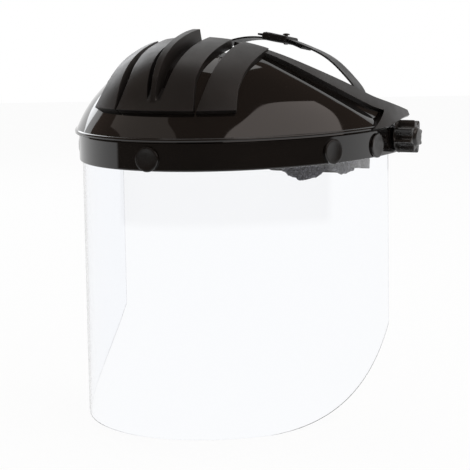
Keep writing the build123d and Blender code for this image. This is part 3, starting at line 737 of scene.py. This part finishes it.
def claspPin():
    # push stud through the strap's hole: shallow domed head above, a split foot below
    head = clasp["pinHigh"]
    r = np.array([0, 1.6, 2.2, 1.5, 1.5, 1.5, clasp["pinRadius"], clasp["pinRadius"], 2.7, 1.6, 0])
    foot = clasp["pinLow"]
    h = np.array([foot - 1.2, foot - 1.0, foot, foot + 1.0, 76.0, head - 0.8, head - 0.7, head - 0.3, head + 0.2, head + 0.6, head + 0.7])
    points, faces = lathedGrid(r, h, 48, None)
    base = harnessPoint(clasp["holeX"], 17.0, 0.0)
    piece = makeMesh("clasp_pin", placed(points, base, np.array([1.0, 0, 0]), harnessBack, harnessUp), faces, nylonStud, "harness", 40)
    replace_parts(piece, "strap_pin")


strapClasp()
claspPin()

pads = {
    "bandLow": -31.0, "bandFrontLow": -21.0, "bandHigh": 4.0, "inside": -7.4, "outside": 1.9, "voxelMm": 4.5, "capMm": 4.0,
    "loopMm": 1.8, "loopHigh": 0.8, "gatherMm": 26.0, "gatherHigh": 1.6,
}


def mergedGrid(points, faces, name):
    mesh = bpy.data.meshes.new(name)
    mesh.from_pydata((points * mm).tolist(), [], [list(map(int, f)) for f in faces])
    tool = bmesh.new()
    tool.from_mesh(mesh)
    bmesh.ops.remove_doubles(tool, verts=tool.verts, dist=1e-6)
    bmesh.ops.recalc_face_normals(tool, faces=tool.faces)
    tool.to_mesh(mesh)
    tool.free()
    thing = bpy.data.objects.new(name, mesh)
    bpy.context.scene.collection.objects.link(thing)
    return thing


def bakeModifiers(thing):
    graph = bpy.context.evaluated_depsgraph_get()
    mesh = bpy.data.meshes.new_from_object(thing.evaluated_get(graph), depsgraph=graph)
    thing.modifiers.clear()
    old, thing.data = thing.data, mesh
    mesh.name = old.name + "_made"
    bpy.data.meshes.remove(old)


def meshPoints(thing):
    flat = np.empty(len(thing.data.vertices) * 3)
    thing.data.vertices.foreach_get("co", flat)
    return flat.reshape(-1, 3)


def plumpPad(thing, body, node, voxelMm, capMm):
    # even voxels, twenty frames of cloth under pressure, movement capped, two subdivisions, then loops of terry as noise along the normal
    remesh = thing.modifiers.new("Remesh", "REMESH")
    remesh.mode, remesh.voxel_size = "VOXEL", voxelMm * mm
    bakeModifiers(thing)
    before = meshPoints(thing)
    cloth = thing.modifiers.new("Cloth", "CLOTH")
    cloth.settings.use_pressure, cloth.settings.uniform_pressure_force = True, 4.0
    cloth.settings.effector_weights.gravity = 0.0
    cloth.settings.quality = 5
    for frameNumber in range(1, 21):
        bpy.context.scene.frame_set(frameNumber)
    graph = bpy.context.evaluated_depsgraph_get()
    blown = bpy.data.meshes.new_from_object(thing.evaluated_get(graph), depsgraph=graph)
    after = np.empty(len(blown.vertices) * 3)
    blown.vertices.foreach_get("co", after)
    bpy.data.meshes.remove(blown)
    thing.modifiers.clear()
    bpy.context.scene.frame_set(1)
    step = after.reshape(-1, 3) - before
    size = np.linalg.norm(step, axis=1, keepdims=True)
    step *= np.minimum(1, capMm * mm / np.maximum(size, 1e-9)) * 0.6
    thing.data.vertices.foreach_set("co", (before + step).ravel())
    smooth = thing.modifiers.new("Subdivision", "SUBSURF")
    smooth.levels = smooth.render_levels = 2
    bakeModifiers(thing)
    points = meshPoints(thing)
    normals = np.empty(len(points) * 3)
    thing.data.vertices.foreach_get("normal", normals)
    loops = latticeNoise(points / mm, pads["loopMm"], 11) * pads["loopHigh"]
    gathers = latticeNoise(points / mm * [1, 1, 0.35], pads["gatherMm"] * 0.5, 12) * pads["gatherHigh"]
    points = points + normals.reshape(-1, 3) * ((loops + gathers) * mm)[:, None]
    thing.data.vertices.foreach_set("co", points.ravel())
    thing.data.polygons.foreach_set("use_smooth", np.ones(len(thing.data.polygons), bool))
    thing.data.update()
    thing.data.materials.append(terry)
    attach(thing, body)
    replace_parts(thing, node)
    return thing


def sweatSleeve():
    # terry sleeve round the headband's lower edge: a superellipse section carried along the ring, its lower edge scalloped
    x, v, t = harnessArc(harness["half"] - 1.0, harness["deep"] - 1.0, 32, 121)
    out = np.stack([x / harness["half"] ** 2, (v - harness["mid"]) / harness["deep"] ** 2], -1)
    out /= np.linalg.norm(out, axis=1, keepdims=True)
    along = np.cumsum(np.concatenate([[0], np.hypot(np.diff(x), np.diff(v))]))
    ends = smoothStep(0, 9, np.minimum(along, along[-1] - along))[:, None]
    scallop = 1.6 * abs(np.sin(along / 31.0 * math.pi)) + 0.7 * np.sin(along / 11.0)
    low = (pads["bandLow"] + (pads["bandFrontLow"] - pads["bandLow"]) * (1 - smoothStep(-58, -22, v)) + 1.4 - scallop)[:, None]
    turn = np.linspace(0, 2 * math.pi, 32, endpoint=False)[None, :]
    power = 0.62
    a = np.sign(np.cos(turn)) * abs(np.cos(turn)) ** power
    b = np.sign(np.sin(turn)) * abs(np.sin(turn)) ** power
    n = (pads["inside"] + pads["outside"]) / 2 + (pads["outside"] - pads["inside"]) / 2 * a * (0.35 + 0.65 * ends)
    w = (pads["bandHigh"] + low) / 2 + (pads["bandHigh"] - low) / 2 * b * (0.7 + 0.3 * ends) - 2.5 * (a + 1) * smoothStep(0, 1, b)
    grid = harnessPoint(x[:, None] + out[:, :1] * n, v[:, None] + out[:, 1:] * n, w)
    faces = cappedTube(*grid.shape[:2])
    return plumpPad(mergedGrid(grid.reshape(-1, 3), faces, "sweat_sleeve"), "harness", "sweatband", pads["voxelMm"], pads["capMm"])


def napeCushion():
    # oval cushion on the rear cradle: point = centre + ring of half width 28 and half height 21, thickness by a superellipse
    turn = np.linspace(0, 2 * math.pi, 56, endpoint=False)[None, :]
    rise = np.linspace(-math.pi / 2, math.pi / 2, 17)[:, None]
    spread = np.cos(rise) ** 0.55
    thick = np.sign(np.sin(rise)) * abs(np.sin(rise)) ** 0.7 * 4.1
    x = 27.5 * spread * np.cos(turn)
    w = -15.5 + 20.8 * spread * np.sin(turn)
    v = 98.3 + thick - 1.2 * (x / 27.5) ** 2
    grid = harnessPoint(x, v, w)
    return plumpPad(mergedGrid(grid.reshape(-1, 3), gridFaces(17, 56, wrapCols=True).tolist(), "nape_cushion"), "harness", "nape_pad", 3.5, 3.0)


sweatSleeve()
napeCushion()
print("pads made")

stage = {"floor": -0.1995}
plainNodes = {
    waxyPolyethylene: ["pivot_bracket_left", "pivot_bracket_right", "ratchet_housing", "nape_cradle", "rear_strap_left", "rear_strap_right"],
    nylonKnob: [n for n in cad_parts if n.startswith("stud_nut")] + ["ratchet_pinion"],
    zincPlate: [
        "pivot_bolt_left", "pivot_bolt_right", "friction_washer_left", "friction_washer_right",
        "strap_rivet_left", "strap_rivet_right", "detent_spring",
    ],
}
for material, nodes in plainNodes.items():
    for node in nodes:
        bpy.data.objects[node].data.materials.clear()
        bpy.data.objects[node].data.materials.append(material)


view = {"azimuth": 26.154, "elevation": 8.106, "roll": -0.926, "distance": 1.4774, "lens": 145.3, "target": (0.01514, -0.08256, -0.06079)}


def addCamera():
    a, e, r = (math.radians(view[k]) for k in ("azimuth", "elevation", "roll"))
    back = Vector((math.sin(a) * math.cos(e), -math.cos(a) * math.cos(e), math.sin(e)))
    right = Vector((math.cos(a), math.sin(a), 0))
    up = back.cross(right)
    turnedRight = right * math.cos(r) + up * math.sin(r)
    turnedUp = up * math.cos(r) - right * math.sin(r)
    camera = bpy.data.objects.new("camera", bpy.data.cameras.new("camera"))
    camera.data.lens, camera.data.sensor_width = view["lens"], 36.0
    camera.data.clip_start, camera.data.clip_end = 0.05, 30
    camera.matrix_world = Matrix.Translation(Vector(view["target"]) + back * view["distance"]) @ Matrix((turnedRight, turnedUp, back)).transposed().to_4x4()
    bpy.context.scene.collection.objects.link(camera)
    bpy.context.scene.camera = camera


def seenWhite(name, dull, seenStrength, glossStrength):
    # a matt white paint for light, but plain white to the camera and pale to reflections and through the window
    material, tree = newMaterial(name)
    rays = addNode(tree, "ShaderNodeLightPath")
    paint = addNode(tree, "ShaderNodeBsdfDiffuse", {"Color": hexColour(dull)})
    seen = addNode(tree, "ShaderNodeEmission", {"Color": (1, 1, 1, 1), "Strength": seenStrength})
    shown = addNode(tree, "ShaderNodeEmission", {"Color": (1, 1, 1, 1), "Strength": glossStrength})
    either = addNode(tree, "ShaderNodeMath", {"operation": "MAXIMUM"}, {0: (rays, "Is Camera Ray"), 1: (rays, "Is Transmission Ray")})
    gloss = addNode(tree, "ShaderNodeMixShader", links={0: (rays, "Is Glossy Ray"), 1: (paint, 0), 2: (shown, 0)})
    full = addNode(tree, "ShaderNodeMixShader", links={0: (either, 0), 1: (gloss, 0), 2: (seen, 0)})
    addNode(tree, "ShaderNodeOutputMaterial", links={"Surface": (full, 0)})
    return material


def floorMaterial():
    # pale floor: most of what the camera sees is plain white, the rest is lit paint, so the shadow stays
    material, tree = newMaterial("paleFloor")
    rays = addNode(tree, "ShaderNodeLightPath")
    either = addNode(tree, "ShaderNodeMath", {"operation": "MAXIMUM"}, {0: (rays, "Is Camera Ray"), 1: (rays, "Is Transmission Ray")})
    share = addNode(tree, "ShaderNodeMath", {"operation": "MULTIPLY", 1: 0.94}, {0: (either, 0)})
    paint = addNode(tree, "ShaderNodeBsdfDiffuse", {"Color": hexColour("f4f4f4")})
    seen = addNode(tree, "ShaderNodeEmission", {"Color": (1, 1, 1, 1), "Strength": 1.0})
    # the paper ends in a front edge: reflections beyond that distance meet a dark bench
    place = addNode(tree, "ShaderNodeTexCoord")
    spot = addNode(tree, "ShaderNodeVectorMath", {"operation": "ADD", 1: (0.0, 0.1, -stage["floor"])}, {0: (place, "Object")})
    far = addNode(tree, "ShaderNodeVectorMath", {"operation": "LENGTH"}, {0: (spot, 0)})
    front = addNode(tree, "ShaderNodeVectorMath", {"operation": "DOT_PRODUCT", 1: (0.42, -0.906, 0.0)}, {0: (spot, 0)})
    farShare = addNode(tree, "ShaderNodeMapRange", {"From Min": 1.2, "From Max": 1.3}, {"Value": (far, "Value")})
    frontShare = addNode(tree, "ShaderNodeMapRange", {"From Min": 0.0, "From Max": 0.12}, {"Value": (front, "Value")})
    onBench = addNode(tree, "ShaderNodeMath", {"operation": "MULTIPLY"}, {0: (farShare, 0), 1: (frontShare, 0)})
    bench = addNode(tree, "ShaderNodeEmission", {"Color": (1, 0.84, 0.74, 1), "Strength": room["darkFloor"]})
    paper = addNode(tree, "ShaderNodeEmission", {"Color": (1, 1, 1, 1), "Strength": 0.95})
    dark = addNode(tree, "ShaderNodeMixShader", links={0: (onBench, 0), 1: (paper, 0), 2: (bench, 0)})
    glossy = addNode(tree, "ShaderNodeMixShader", links={0: (rays, "Is Glossy Ray"), 1: (paint, 0), 2: (dark, 0)})
    full = addNode(tree, "ShaderNodeMixShader", links={0: (share, 0), 1: (glossy, 0), 2: (seen, 0)})
    addNode(tree, "ShaderNodeOutputMaterial", links={"Surface": (full, 0)})
    return material


def stagePlane(name, corners, material):
    mesh = bpy.data.meshes.new(name)
    mesh.from_pydata(corners, [], [(0, 1, 2, 3)])
    mesh.materials.append(material)
    thing = bpy.data.objects.new(name, mesh)
    bpy.context.scene.collection.objects.link(thing)
    return thing


def areaLamp(name, place, aim, size, power, colour=(1, 1, 1)):
    lamp = bpy.data.objects.new(name, bpy.data.lights.new(name, "AREA"))
    lamp.data.shape, lamp.data.size, lamp.data.size_y = "RECTANGLE", size[0], size[1]
    lamp.data.energy, lamp.data.color = power, colour
    lamp.location = place
    lamp.rotation_euler = (Vector(aim) - Vector(place)).to_track_quat("-Z", "Y").to_euler()
    lamp.visible_camera = lamp.visible_transmission = False
    bpy.context.scene.collection.objects.link(lamp)
    return lamp


room = {
    "fill": 0.5, "darkSide": "6e6057", "darkFloor": 0.11,
    "lamps": {
        "overheadSoftbox": ((-0.1, 0.3, 1.5), (1.1, 0.9), 5.0, (1.0, 0.99, 0.98)),
        "leftSoftbox": ((-1.3, 1.0, 0.76), (0.9, 0.9), 5.5, (0.95, 0.97, 1.0)),
        "rightSoftbox": ((1.18, -0.14, 0.9), (1.95, 1.05), 8.6, (1.0, 0.9, 0.85)),
        "leftCard": ((-0.66, -0.68, 0.98), (1.75, 0.52), 0.95, (1.0, 0.91, 0.84)),
    },
}
addCamera()
low = stage["floor"]
stagePlane("floor", [(-6, -6, low), (6, -6, low), (6, 6, low), (-6, 6, low)], floorMaterial())
a = math.radians(view["azimuth"])
sideways, away = np.array([math.cos(a), math.sin(a)]), np.array([-math.sin(a), math.cos(a)])
wallLeft, wallRight = away * 3.4 - sideways * 3.53, away * 3.4 + sideways * 5.5
stagePlane("backdrop", [(*wallLeft, low), (*wallRight, low), (*wallRight, 4.9), (*wallLeft, 4.9)], seenWhite("backdropPaper", "f2f2f2", 1.0, 1.1))

world = bpy.data.worlds.new("room")
bpy.context.scene.world = world
world.use_nodes = True
tree = world.node_tree
tree.nodes.clear()
rays = addNode(tree, "ShaderNodeLightPath")
dim = addNode(tree, "ShaderNodeBackground", {"Color": (1, 1, 1, 1), "Strength": room["fill"]})
dark = addNode(tree, "ShaderNodeBackground", {"Color": hexColour(room["darkSide"]), "Strength": 1.0})
bright = addNode(tree, "ShaderNodeBackground", {"Color": (1, 1, 1, 1), "Strength": 1.0})
glossMix = addNode(tree, "ShaderNodeMixShader", links={0: (rays, "Is Glossy Ray"), 1: (dim, 0), 2: (dark, 0)})
either = addNode(tree, "ShaderNodeMath", {"operation": "MAXIMUM"}, {0: (rays, "Is Camera Ray"), 1: (rays, "Is Transmission Ray")})
both = addNode(tree, "ShaderNodeMixShader", links={0: (either, 0), 1: (glossMix, 0), 2: (bright, 0)})
addNode(tree, "ShaderNodeOutputWorld", links={"Surface": (both, 0)})
for lampName, (place, size, power, colour) in room["lamps"].items():
    areaLamp(lampName, place, (0, -0.08, 0), size, power, colour)
bpy.context.scene.view_settings.view_transform = "Standard"
print("stage ready")
